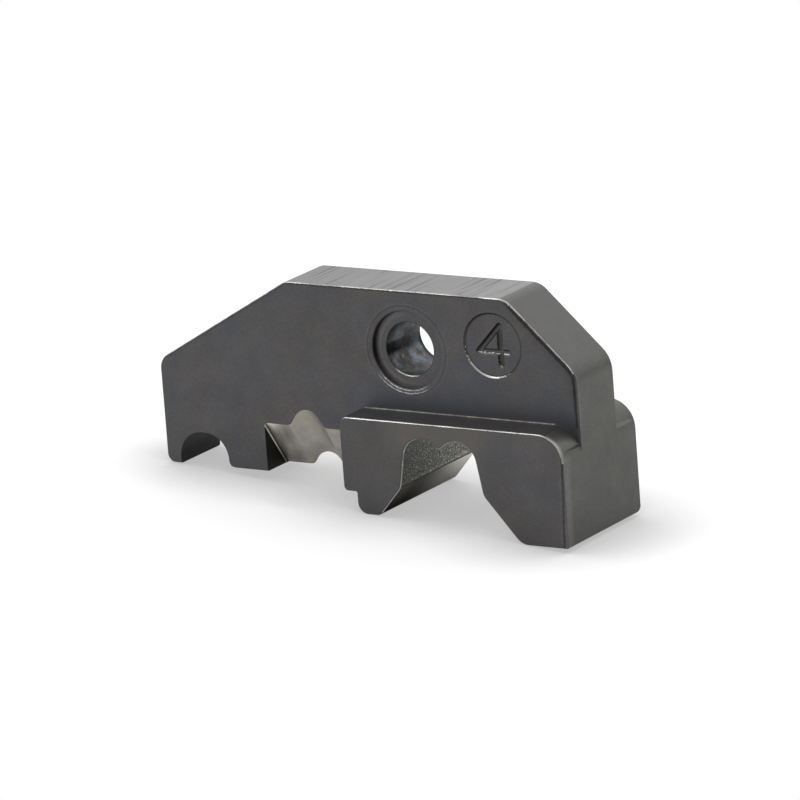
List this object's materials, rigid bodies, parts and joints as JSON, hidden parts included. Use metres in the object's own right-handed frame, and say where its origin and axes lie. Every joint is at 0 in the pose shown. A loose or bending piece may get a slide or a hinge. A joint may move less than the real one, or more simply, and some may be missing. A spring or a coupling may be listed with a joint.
{
  "type": "crimping jaw",
  "caption": "Crimping jaw: drilled steel plate with a half-round pocket, a sloped stripping notch and a thicker block holding a two-lobed crimping nest.",
  "frame": {"origin": "on the mounting bore's axis, in the middle plane of the plate", "axes": "+X along the length to the crimping block, +Y along the bore away from the face with the recess, +Z to the ground base face"},
  "size_m": [0.0458, 0.0132, 0.0222],
  "materials": {
    "blackened_steel": "black oxide, satin"
  },
  "bodies": {
    "root": {"crimping_jaw": "blackened_steel"}
  },
  "joints": []
}
